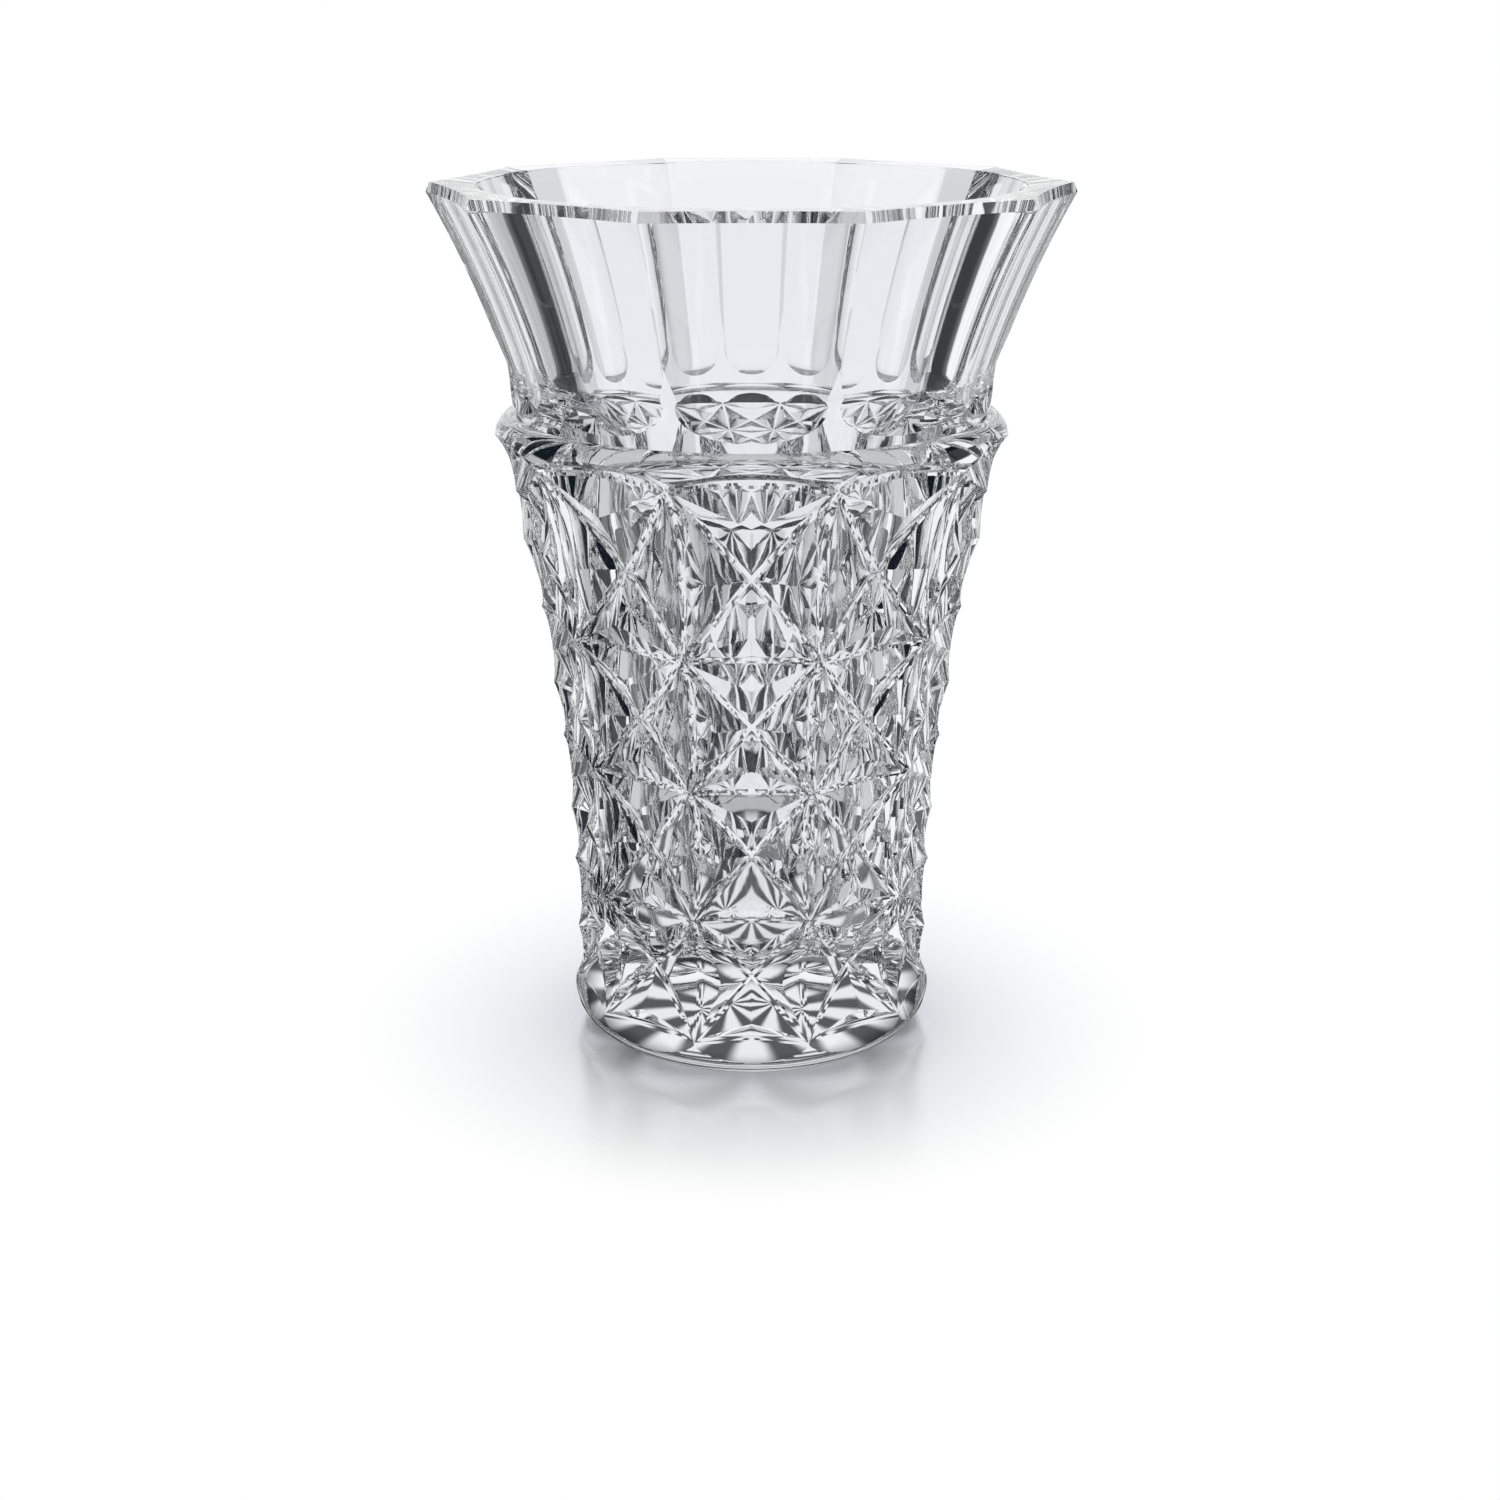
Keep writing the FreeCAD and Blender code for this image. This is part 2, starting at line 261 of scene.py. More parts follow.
@dataclass
class Wheel:
    """One biconical grinding wheel, set against the blank for a V cut (mm, radians).

    The sweep is the part of the wheel that is drawn: a little more than the part that grinds, so
    that its ends stand clear of the glass.
    """

    OVERSWEEP = 1.25
    END_SWEEP = math.radians(8)

    centre: Vector
    reach: Vector
    normal: Vector
    radius: float
    flank_above: float
    flank_below: float
    sweep: float

    @classmethod
    def through(
        cls,
        bottoms: tuple[Vector, Vector, Vector],
        above: list[Vector],
        below: list[Vector],
        edge_round: float,
    ) -> "Wheel":
        """Set a wheel so that its rim passes three points and its flanks pass the ridges.

        Args:
            bottoms: Start, deepest point and end of the cut's bottom.
            above: Ridge points on the side that the wheel's normal points to.
            below: Ridge points on the other side.
            edge_round: Radius worn on the wheel's edge.

        Returns:
            The wheel.
        """
        start, middle, end = bottoms
        one, two = middle - start, end - start
        normal = two.cross(one).normalized()
        lines = Matrix((one, two, normal))
        sums = Vector(
            (one.dot(start + middle) / 2, two.dot(start + end) / 2, normal.dot(start))
        )
        centre = lines.inverted() @ sums
        radius = (middle - centre).length
        reach = (middle - centre).normalized()
        side = -1.0 if sum(normal.dot(p - centre) for p in above) < 0 else 1.0
        normal *= side
        sides = cls.flank(above, centre, normal, radius), cls.flank(below, centre, normal, radius)
        # The worn edge is set in from the sharp one, so the sharp rim stands further out.
        sharp = radius + edge_round * (1 / math.sin(sum(sides) / 2) - 1)
        half_sweep = (start - centre).angle(middle - centre)
        return cls(
            centre,
            reach,
            normal,
            sharp,
            cls.flank(above, centre, normal, sharp),
            cls.flank(below, centre, normal, sharp),
            2 * half_sweep * cls.OVERSWEEP + cls.END_SWEEP,
        )

    @staticmethod
    def flank(points: list[Vector], centre: Vector, normal: Vector, rim: float) -> float:
        """Find the angle between the wheel's plane and the flank through some points.

        Args:
            points: Ridge points on one side.
            centre: Middle of the wheel.
            normal: Direction of the axle.
            rim: Radius of the sharp rim.

        Returns:
            The mean angle in radians.
        """
        angles = []
        for p in points:
            rise = (p - centre).dot(normal)
            out = (p - centre - normal * rise).length
            angles.append(math.atan2(abs(rise), rim - out))
        return sum(angles) / len(angles)

    def euler(self) -> tuple[float, float, float]:
        """Turn the wheel so that its own X points at the cut and its Z along the axle.

        Returns:
            The turn as Euler angles.
        """
        across = self.normal.cross(self.reach)
        turn = Matrix((self.reach, across, self.normal)).transposed()
        return tuple(turn.to_euler("XYZ"))


def ring_around_axis(
    tree: bpy.types.NodeTree,
    tool: bpy.types.NodeSocket,
    count: bpy.types.NodeSocket,
    first_turn: float,
) -> bpy.types.NodeSocket:
    """Repeat a tool around the vase's axis.

    Args:
        tree: Node tree that gets the nodes.
        tool: The tool's geometry.
        count: How many copies stand around the axis.
        first_turn: Turn of the first copy in radians.

    Returns:
        The copies as instances.
    """
    axis = add_node(tree, "GeometryNodePoints", links={"Count": count})
    index = add_node(tree, "GeometryNodeInputIndex")
    share = add_node(tree, MATH, {"operation": "DIVIDE"}, links={0: index.outputs[0], 1: count})
    angle = add_node(
        tree,
        MATH,
        {"operation": "MULTIPLY_ADD"},
        {1: 2 * math.pi, 2: first_turn},
        {0: share.outputs[0]},
    )
    turn = add_node(
        tree,
        "FunctionNodeAxisAngleToRotation",
        inputs={"Axis": (0.0, 0.0, 1.0)},
        links={"Angle": angle.outputs[0]},
    )
    ring = add_node(
        tree,
        "GeometryNodeInstanceOnPoints",
        links={"Points": axis.outputs[0], "Instance": tool, "Rotation": turn.outputs[0]},
    )
    return ring.outputs[0]


class Group:
    """Node group with named inputs and one result; each kind of group fills in its nodes."""

    NAME = ""
    KIND = "GeometryNodeTree"
    SOCKETS: tuple[tuple[str, str], ...] = ()
    RESULT = ("Wheels", "NodeSocketGeometry")

    def __init__(self) -> None:
        """Build the group once."""
        self.tree = bpy.data.node_groups.new(self.NAME, self.KIND)
        face = self.tree.interface
        for name, kind in self.SOCKETS:
            face.new_socket(name, in_out="INPUT", socket_type=kind)
        face.new_socket(self.RESULT[0], in_out="OUTPUT", socket_type=self.RESULT[1])
        self.make_nodes()

    def make_nodes(self) -> None:
        """Fill the group."""
        raise NotImplementedError


class WheelRing(Group):
    """Node group that makes one ring of equal biconical wheels, set around the vase's axis."""

    NAME = "ring of wheels"
    SOCKETS = (
        ("Wheel Radius", "NodeSocketFloat"),
        ("Flank Above", "NodeSocketFloat"),
        ("Flank Below", "NodeSocketFloat"),
        ("Sweep", "NodeSocketFloat"),
        ("Steps", "NodeSocketInt"),
        ("Centre", "NodeSocketVector"),
        ("Turn", "NodeSocketVector"),
        ("Edge Round", "NodeSocketFloat"),
        ("Wheel Thickness", "NodeSocketFloat"),
        ("Rim Depth", "NodeSocketFloat"),
        ("Cuts Around", "NodeSocketInt"),
    )

    def section(self, value: bpy.types.NodeOutputs) -> bpy.types.NodeSocket:
        """Five-cornered section of the wheel, with only its edge rounded.

        Args:
            value: The group's inputs.

        Returns:
            Socket with the section's curve; X runs outward and Y against the axle.
        """
        tree = self.tree
        times, over = {"operation": "MULTIPLY"}, {"operation": "DIVIDE"}
        thickness = value["Wheel Thickness"]
        half = add_node(tree, MATH, times, {1: 0.5}, {0: thickness}).outputs[0]
        other = add_node(tree, MATH, times, {1: -0.5}, {0: thickness}).outputs[0]
        back = add_node(tree, MATH, times, {1: -1.0}, {0: value["Rim Depth"]}).outputs[0]
        flanks = []
        for name in ("Flank Above", "Flank Below"):
            slope = add_node(tree, MATH, {"operation": "TANGENT"}, links={0: value[name]})
            foot = add_node(tree, MATH, over, links={0: other, 1: slope.outputs[0]})
            flanks.append(foot.outputs[0])
        corners = [
            add_node(tree, "ShaderNodeCombineXYZ", links={"X": x, "Y": y}).outputs[0]
            for x, y in ((flanks[1], half), (back, half), (back, other), (flanks[0], other))
        ]
        index = add_node(tree, "GeometryNodeInputIndex").outputs[0]
        choose = add_node(tree, "GeometryNodeIndexSwitch", {"data_type": "VECTOR"})
        while len(choose.index_switch_items) < len(corners) + 1:
            choose.index_switch_items.new()
        tree.links.new(index, choose.inputs["Index"])
        for number, place in enumerate(corners, start=1):
            tree.links.new(place, choose.inputs[str(number)])
        points = add_node(
            tree,
            "GeometryNodePoints",
            inputs={"Count": len(corners) + 1},
            links={"Position": choose.outputs[0]},
        )
        line = add_node(tree, "GeometryNodePointsToCurves", links={0: points.outputs[0]})
        loop = add_node(
            tree, "GeometryNodeSetSplineCyclic", inputs={"Cyclic": True}, links={0: line.outputs[0]}
        )
        is_edge = add_node(
            tree, "FunctionNodeCompare", {"data_type": "INT", "operation": "EQUAL"}, links={2: index}
        )
        edge_only = add_node(tree, MATH, times, links={0: is_edge.outputs[0], 1: value["Edge Round"]})
        rounded = add_node(
            tree,
            "GeometryNodeFilletCurve",
            {"mode": "POLY"},
            {"Count": 5},
            {"Curve": loop.outputs[0], "Radius": edge_only.outputs[0]},
        )
        return rounded.outputs[0]

    def make_nodes(self) -> None:
        """Sweep the section along the rim, set the wheel and repeat it."""
        tree = self.tree
        value = add_node(tree, "NodeGroupInput").outputs
        start = add_node(tree, MATH, {"operation": "MULTIPLY"}, {1: -0.5}, {0: value["Sweep"]})
        rim = add_node(
            tree,
            "GeometryNodeCurveArc",
            links={
                "Resolution": value["Steps"],
                "Radius": value["Wheel Radius"],
                "Start Angle": start.outputs[0],
                "Sweep Angle": value["Sweep"],
            },
        )
        wheel = add_node(
            tree,
            "GeometryNodeCurveToMesh",
            inputs={"Fill Caps": True},
            links={"Curve": rim.outputs[0], "Profile Curve": self.section(value)},
        )
        placed = add_node(
            tree,
            "GeometryNodeTransform",
            links={0: wheel.outputs[0], "Translation": value["Centre"], "Rotation": value["Turn"]},
        )
        ring = ring_around_axis(tree, placed.outputs[0], value["Cuts Around"], 0.0)
        add_node(tree, "NodeGroupOutput", links={0: ring})


class Ring(Enum):
    """Kinds of cut that a ring may hold."""

    LEVEL = "level"
    UPRIGHT = "upright"
    FALLING = "falling"
    RISING = "rising"


@dataclass
class CutField:
    """Rings of wheel cuts between the collar and the foot (mm)."""

    blank: Blank
    skin_removed: float = 0.5
    star_heights: tuple[float, ...] = (202.5, 146.5, 101.6, 56.9, 14.2)
    level_depths: tuple[float, ...] = (9.0, 5.4, 4.8, 4.4, 5.2)
    level_openings: tuple[float, ...] = (12.0, 9.5, 8.8, 8.3, 7.4)
    collar_cut_lift: float = 1.2
    collar_arch_rise: float = 5.9
    foot_arch_drop: float = 6.2
    foot_arch_radius: float = 60.0
    upright_depth: float = 6.6
    upright_opening: float = 9.2
    crossing_depths: tuple[float, ...] = (8.6, 5.8, 6.0, 6.9)
    edge_round: float = 3.0
    wheel_thickness: float = 27.0
    rim_depth: float = 24.0
    step: float = 2.6
    fewest_steps: int = 14

    def skin(self, height: float) -> float:
        """Find the radius that the cuts leave, just below the blank's skin.

        Args:
            height: Height over the resting face.

        Returns:
            The radius.
        """
        b = self.blank
        foot = Vector((b.foot_radius, b.foot_height))
        collar = Vector((b.collar_radius, b.collar_height))
        chord = collar - foot
        outward = Vector((chord.y, -chord.x)).normalized()
        centre = (foot + collar) / 2 + outward * math.sqrt(b.body_sweep**2 - (chord.length / 2) ** 2)
        return centre.x - math.sqrt(b.body_sweep**2 - (height - centre.y) ** 2) - self.skin_removed

    def star(self, ring: int, turn: float) -> Vector:
        """Find the middle of a star.

        Args:
            ring: Number of the ring from the collar down.
            turn: Turn in radians.

        Returns:
            The point.
        """
        height = self.star_heights[ring]
        return point_at(self.skin(height), turn, height)

    def level_bottom(self, ring: int) -> Vector:
        """Find the deepest point of the level cut between two stars.

        Args:
            ring: Number of the ring.

        Returns:
            The point.
        """
        height = self.star_heights[ring]
        lift = self.collar_cut_lift if ring == 0 else 0.0
        return point_at(self.skin(height) - self.level_depths[ring], 0.0, height + lift)

    def level_ridge(self, ring: int, side: int) -> Vector:
        """Find the ridge point above or below a level cut.

        Args:
            ring: Number of the ring.
            side: 1 for above and -1 for below.

        Returns:
            The point.
        """
        height = self.star_heights[ring]
        if ring == 0 and side > 0:
            return point_at(self.blank.collar_radius, 0.0, height + self.collar_arch_rise)
        if ring == len(self.star_heights) - 1 and side < 0:
            return point_at(self.foot_arch_radius, 0.0, height - self.foot_arch_drop)
        height += side * self.level_openings[ring]
        return point_at(self.skin(height), 0.0, height)

    def crossing_height(self, row: int) -> float:
        """Find the height where the two slanting cuts of a panel cross.

        Args:
            row: Number of the row of panels, 1 under the collar.

        Returns:
            The height.
        """
        upper, lower = self.star_heights[row - 1], self.star_heights[row]
        share = self.skin(upper) / (self.skin(upper) + self.skin(lower))
        return upper + (lower - upper) * share

    def upright_ridge(self, row: int, star_turn: float, side: int) -> Vector:
        """Find the ridge point beside an upright cut.

        Args:
            row: Number of the row of panels.
            star_turn: Turn of the cut in radians.
            side: 1 or -1, towards the panel on that side.

        Returns:
            The point.
        """
        height = self.crossing_height(row)
        radius = self.skin(height)
        return point_at(radius, star_turn + side * self.upright_opening / radius, height)

    def level_wheel(self, ring: int) -> Wheel:
        """Set the wheel of the level cut that faces -Y.

        Args:
            ring: Number of the ring.

        Returns:
            The wheel.
        """
        bottoms = (self.star(ring, -HALF_PANEL), self.level_bottom(ring), self.star(ring, HALF_PANEL))
        above, below = [self.level_ridge(ring, 1)], [self.level_ridge(ring, -1)]
        return Wheel.through(bottoms, above, below, self.edge_round)

    def upright_wheel(self, row: int) -> Wheel:
        """Set the wheel of the upright cut between two stars.

        Args:
            row: Number of the row of panels.

        Returns:
            The wheel.
        """
        height = (self.star_heights[row - 1] + self.star_heights[row]) / 2
        bottom = point_at(self.skin(height) - self.upright_depth, HALF_PANEL, height)
        bottoms = (self.star(row - 1, HALF_PANEL), bottom, self.star(row, HALF_PANEL))
        above = [self.upright_ridge(row, HALF_PANEL, 1)]
        below = [self.upright_ridge(row, HALF_PANEL, -1)]
        return Wheel.through(bottoms, above, below, self.edge_round)

    def slanting_wheel(self, row: int, hand: int) -> Wheel:
        """Set the wheel of a slanting cut.

        Args:
            row: Number of the row of panels.
            hand: 1 falls to the right and -1 to the left.

        Returns:
            The wheel.
        """
        height = self.crossing_height(row)
        middle = point_at(self.skin(height) - self.crossing_depths[row - 1], 0.0, height)
        ends = self.star(row - 1, -hand * HALF_PANEL), self.star(row, hand * HALF_PANEL)
        above = [self.level_ridge(row - 1, -1), self.upright_ridge(row, hand * HALF_PANEL, -hand)]
        below = [self.level_ridge(row, 1), self.upright_ridge(row, -hand * HALF_PANEL, hand)]
        return Wheel.through((ends[0], middle, ends[1]), above, below, self.edge_round)

    def wheels(self) -> list[tuple[str, Wheel]]:
        """List every ring of cuts.

        Returns:
            Each ring's name and its wheel, from the collar down.
        """
        found = [(f"{Ring.LEVEL.value} 0", self.level_wheel(0))]
        for row in range(1, len(self.star_heights)):
            found.append((f"{Ring.UPRIGHT.value} {row}", self.upright_wheel(row)))
            found.append((f"{Ring.FALLING.value} {row}", self.slanting_wheel(row, 1)))
            found.append((f"{Ring.RISING.value} {row}", self.slanting_wheel(row, -1)))
            found.append((f"{Ring.LEVEL.value} {row}", self.level_wheel(row)))
        return found

    def values(self, wheel: Wheel) -> dict:
        """Give the inputs of one ring of wheels.

        Args:
            wheel: The ring's wheel.

        Returns:
            Values by input name.
        """
        return {
            "Wheel Radius": wheel.radius * MM,
            "Flank Above": wheel.flank_above,
            "Flank Below": wheel.flank_below,
            "Sweep": wheel.sweep,
            "Steps": max(self.fewest_steps, math.ceil(wheel.radius * wheel.sweep / self.step)),
            "Centre": tuple(wheel.centre * MM),
            "Turn": wheel.euler(),
        }


class FluteRing(Group):
    """Node group that makes one ring of form wheels, each an arc swept with the flute's section."""

    NAME = "ring of form wheels"
    SOCKETS = (
        ("Form", "NodeSocketObject"),
        ("Wheel Radius", "NodeSocketFloat"),
        ("Sweep", "NodeSocketFloat"),
        ("Steps", "NodeSocketInt"),
        ("Cuts Around", "NodeSocketInt"),
    )

    def make_nodes(self) -> None:
        """Sweep the form on the wheel's arc, set it behind the vase's wall and repeat it."""
        tree = self.tree
        value = add_node(tree, "NodeGroupInput").outputs
        start = add_node(tree, MATH, {"operation": "MULTIPLY"}, {1: -0.5}, {0: value["Sweep"]})
        arc = add_node(
            tree,
            "GeometryNodeCurveArc",
            links={
                "Resolution": value["Steps"],
                "Radius": value["Wheel Radius"],
                "Start Angle": start.outputs[0],
                "Sweep Angle": value["Sweep"],
            },
        )
        form = add_node(tree, "GeometryNodeObjectInfo", links={"Object": value["Form"]})
        tool = add_node(
            tree,
            "GeometryNodeCurveToMesh",
            inputs={"Fill Caps": True},
            links={"Curve": arc.outputs[0], "Profile Curve": form.outputs["Geometry"]},
        )
        back = add_node(tree, MATH, {"operation": "MULTIPLY"}, {1: -1.0}, {0: value["Wheel Radius"]})
        away = add_node(tree, "ShaderNodeCombineXYZ", links={"X": back.outputs[0]})
        placed = add_node(
            tree, "GeometryNodeTransform", links={0: tool.outputs[0], "Translation": away.outputs[0]}
        )
        ring = ring_around_axis(tree, placed.outputs[0], value["Cuts Around"], math.pi / 2)
        add_node(tree, "NodeGroupOutput", links={0: ring})


@dataclass
class Flutes:
    """Ten hollow flutes ground from the rim down to the neck (mm)."""

    blank: Blank
    band_apothem: float
    rim_draw: float = 1.1
    sweep_radius: float = 350.0
    foot_apothem: float = 75.0
    runout: float = 13.0
    end_apothem: float = 79.5
    end_height: float = 214.0
    wheel_radius: float = 290.0
    tool_reach: float = 112.0
    above_rim: float = 8.0
    step: float = 3.0
    steps: int = 28
    oversweep: float = 1.6

    def section(self) -> list[Vector]:
        """Draw the section of the form wheel.

        Returns:
            Points as (distance from the vase's axis, height).
        """
        b = self.blank
        band_foot = b.vase_height - b.band_height
        rim = self.band_apothem - self.rim_draw
        band = Vector((self.band_apothem, band_foot))
        foot = Vector((self.foot_apothem, b.neck_top_height))
        end = Vector((self.end_apothem, self.end_height))
        points = [
            Vector((self.tool_reach, self.end_height)),
            Vector((self.tool_reach, b.vase_height + self.above_rim)),
            Vector((rim, b.vase_height + self.above_rim)),
            Vector((rim, b.vase_height)),
        ]
        points += arc_points(band, foot, self.sweep_radius, False, self.step)
        points += arc_points(foot, end, self.runout, False, self.step / 2)
        points.append(end)
        return points

    def form(self) -> bpy.types.Object:
        """Make the section a helper curve, which the workshop's tree sweeps.

        Returns:
            The curve's object.
        """
        line = bpy.data.curves.new("flute_form", "CURVE")
        line.dimensions = "2D"
        spline = line.splines.new("POLY")
        section = self.section()
        spline.points.add(len(section) - 1)
        for place, p in zip(spline.points, section):
            place.co = (-p.x * MM, -p.y * MM, 0.0, 1.0)
        spline.use_cyclic_u = True
        form = bpy.data.objects.new("flute_form", line)
        bpy.context.scene.collection.objects.link(form)
        return form

    def values(self, form: bpy.types.Object) -> dict:
        """Give the inputs of the ring of form wheels.

        Args:
            form: The helper curve.

        Returns:
            Values by input name.
        """
        chord = 2 * self.tool_reach * math.sin(HALF_PANEL)
        wheel = self.wheel_radius + self.foot_apothem
        return {
            "Form": form,
            "Wheel Radius": wheel * MM,
            "Sweep": self.oversweep * chord / wheel,
            "Steps": self.steps,
        }


@dataclass
class Workshop:
    """Node tree that takes the turned blank and leaves the ground and cut vase."""

    flutes: Flutes
    cuts: CutField
    tree: bpy.types.NodeTree = None
    ids: dict = field(default_factory=dict)

    def make_tree(self, form: bpy.types.Object) -> None:
        """Gather every ring of wheels, cut them all out of the glass and set the finish.

        Args:
            form: Helper curve with the flutes' section.
        """
        self.tree = bpy.data.node_groups.new("workshop", "GeometryNodeTree")
        face = self.tree.interface
        face.new_socket("Glass", in_out="INPUT", socket_type="NodeSocketGeometry")
        for name, kind in (
            ("Edge Round", "NodeSocketFloat"),
            ("Wheel Thickness", "NodeSocketFloat"),
            ("Rim Depth", "NodeSocketFloat"),
            ("Cuts Around", "NodeSocketInt"),
            ("Finish", "NodeSocketMaterial"),
        ):
            socket = face.new_socket(name, in_out="INPUT", socket_type=kind)
            self.ids[name] = socket.identifier
        face.new_socket("Glass", in_out="OUTPUT", socket_type="NodeSocketGeometry")
        value = add_node(self.tree, "NodeGroupInput").outputs
        wheels, forms = WheelRing(), FluteRing()
        common = ("Edge Round", "Wheel Thickness", "Rim Depth", "Cuts Around")
        cut = add_node(
            self.tree,
            "GeometryNodeMeshBoolean",
            {"operation": "DIFFERENCE", "solver": "MANIFOLD"},
            links={"Mesh 1": value["Glass"]},
        )
        flute_ring = add_node(
            self.tree,
            "GeometryNodeGroup",
            {"node_tree": forms.tree, "label": "flutes"},
            self.flutes.values(form),
            {"Cuts Around": value["Cuts Around"]},
        )
        self.tree.links.new(flute_ring.outputs[0], cut.inputs["Mesh 2"])
        for name, wheel in self.cuts.wheels():
            ring = add_node(
                self.tree,
                "GeometryNodeGroup",
                {"node_tree": wheels.tree, "label": name},
                self.cuts.values(wheel),
                {key: value[key] for key in common},
            )
            self.tree.links.new(ring.outputs[0], cut.inputs["Mesh 2"])
            LOG.info("%s cuts: wheel radius %.0f mm", name, wheel.radius)
        real = add_node(self.tree, "GeometryNodeRealizeInstances", links={0: cut.outputs[0]})
        dressed = add_node(
            self.tree,
            "GeometryNodeSetMaterial",
            links={"Geometry": real.outputs[0], "Material": value["Finish"]},
        )
        add_node(self.tree, "NodeGroupOutput", links={0: dressed.outputs[0]})

    def work(self, piece: bpy.types.Object, finish: bpy.types.Material) -> bpy.types.Mesh:
        """Run the tree on the blank.

        Args:
            piece: The blank's object.
            finish: Material of the cut vase.

        Returns:
            The cut vase as a plain mesh.
        """
        form = self.flutes.form()
        self.make_tree(form)
        modifier = piece.modifiers.new("workshop", "NODES")
        modifier.node_group = self.tree
        for key, value in (
            ("Edge Round", self.cuts.edge_round * MM),
            ("Wheel Thickness", self.cuts.wheel_thickness * MM),
            ("Rim Depth", self.cuts.rim_depth * MM),
            ("Cuts Around", PANELS),
            ("Finish", finish),
        ):
            modifier[self.ids[key]] = value
        graph = bpy.context.evaluated_depsgraph_get()
        data = bpy.data.meshes.new_from_object(piece.evaluated_get(graph))
        piece.modifiers.clear()
        bpy.data.objects.remove(form)
        return data


@dataclass(frozen=True)
class LeadCrystal:
    """Clear lead crystal: heavy, colourless, and bright in every cut.

    The 24 percent lead glass bends light more than window glass does, so the cuts show dark and
    light facets side by side.
    """

    name: str = "wheel-cut and polished lead crystal"
    tint: str = "#F9FBFD"
    index: float = 1.545
    wave_mm: float = 18.0
    wave_depth_mm: float = 0.012

    def material(self) -> bpy.types.Material:
        """Build the material.

        Returns:
            The material; slow waves of the polishing move the reflections a little.
        """
        made = bpy.data.materials.new(self.name)
        made.use_nodes = True
        tree = made.node_tree
        tree.nodes.clear()
        place = add_node(tree, "ShaderNodeTexCoord").outputs["Object"]
        waves = add_node(
            tree,
            "ShaderNodeTexNoise",
            inputs={"Scale": 1 / (self.wave_mm * MM), "Detail": 1.0, "Roughness": 0.4},
            links={"Vector": place},
        )
        bump = add_node(
            tree,
            "ShaderNodeBump",
            inputs={"Strength": 1.0, "Distance": self.wave_depth_mm * MM},
            links={"Height": waves.outputs[0]},
        )
        glass = add_node(
            tree,
            "ShaderNodeBsdfPrincipled",
            inputs={
                "Base Color": linear(self.tint),
                "IOR": self.index,
                "Transmission Weight": 1.0,
                "Roughness": 0.0,
            },
            links={"Normal": bump.outputs[0]},
        )
        add_node(tree, "ShaderNodeOutputMaterial", links={"Surface": glass.outputs[0]})
        return made


@dataclass
class Vase:
    """The whole vase: blank, flutes and cut field, made into one plain mesh (mm, radians)."""

    corner_radius: float
    height: float
    corner_draw: float = 2.0
    crease: float = math.radians(12)

    def build(self) -> bpy.types.Object:
        """Turn, grind and cut the vase and hand it to the frame.

        Returns:
            The vase's object.
        """
        band_apothem = self.corner_radius * math.cos(HALF_PANEL)
        blank = Blank(vase_height=self.height, mouth_radius=self.corner_radius + self.corner_draw)
        piece = blank.build()
        finish = LeadCrystal().material()
        data = Workshop(Flutes(blank, band_apothem), CutField(blank)).work(piece, finish)
        piece.data = data
        data.name = "cut_crystal_vase"
        data.set_sharp_from_angle(angle=self.crease)
        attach(piece, BODY)
        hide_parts(NODE)
        LOG.info("vase: %d faces, %d vertices", len(data.polygons), len(data.vertices))
        return piece


class SoftSpan(Group):
    """Shader node group that gives 1 inside a span and falls softly to 0 beyond its ends."""

    NAME = "soft span"
    KIND = "ShaderNodeTree"
    SOCKETS = tuple((name, "NodeSocketFloat") for name in ("Value", "Middle", "Half Width", "Edge"))
    RESULT = ("Inside", "NodeSocketFloat")

    def make_nodes(self) -> None:
        """Measure how far the value lies from the middle and let it fall off past the end."""
        tree = self.tree
        value = add_node(tree, "NodeGroupInput").outputs
        away = add_node(
            tree,
            MATH,
            {"operation": "SUBTRACT"},
            links={0: value["Value"], 1: value["Middle"]},
        )
        apart = add_node(tree, MATH, {"operation": "ABSOLUTE"}, links={0: away.outputs[0]})
        end = add_node(
            tree,
            MATH,
            {"operation": "ADD"},
            links={0: value["Half Width"], 1: value["Edge"]},
        )
        fall = add_node(
            tree,
            MAP_RANGE,
            SOFT,
            {"To Min": 1.0, "To Max": 0.0},
            {"Value": apart.outputs[0], "From Min": value["Half Width"], "From Max": end.outputs[0]},
        )
        add_node(tree, "NodeGroupOutput", links={0: fall.outputs["Result"]})


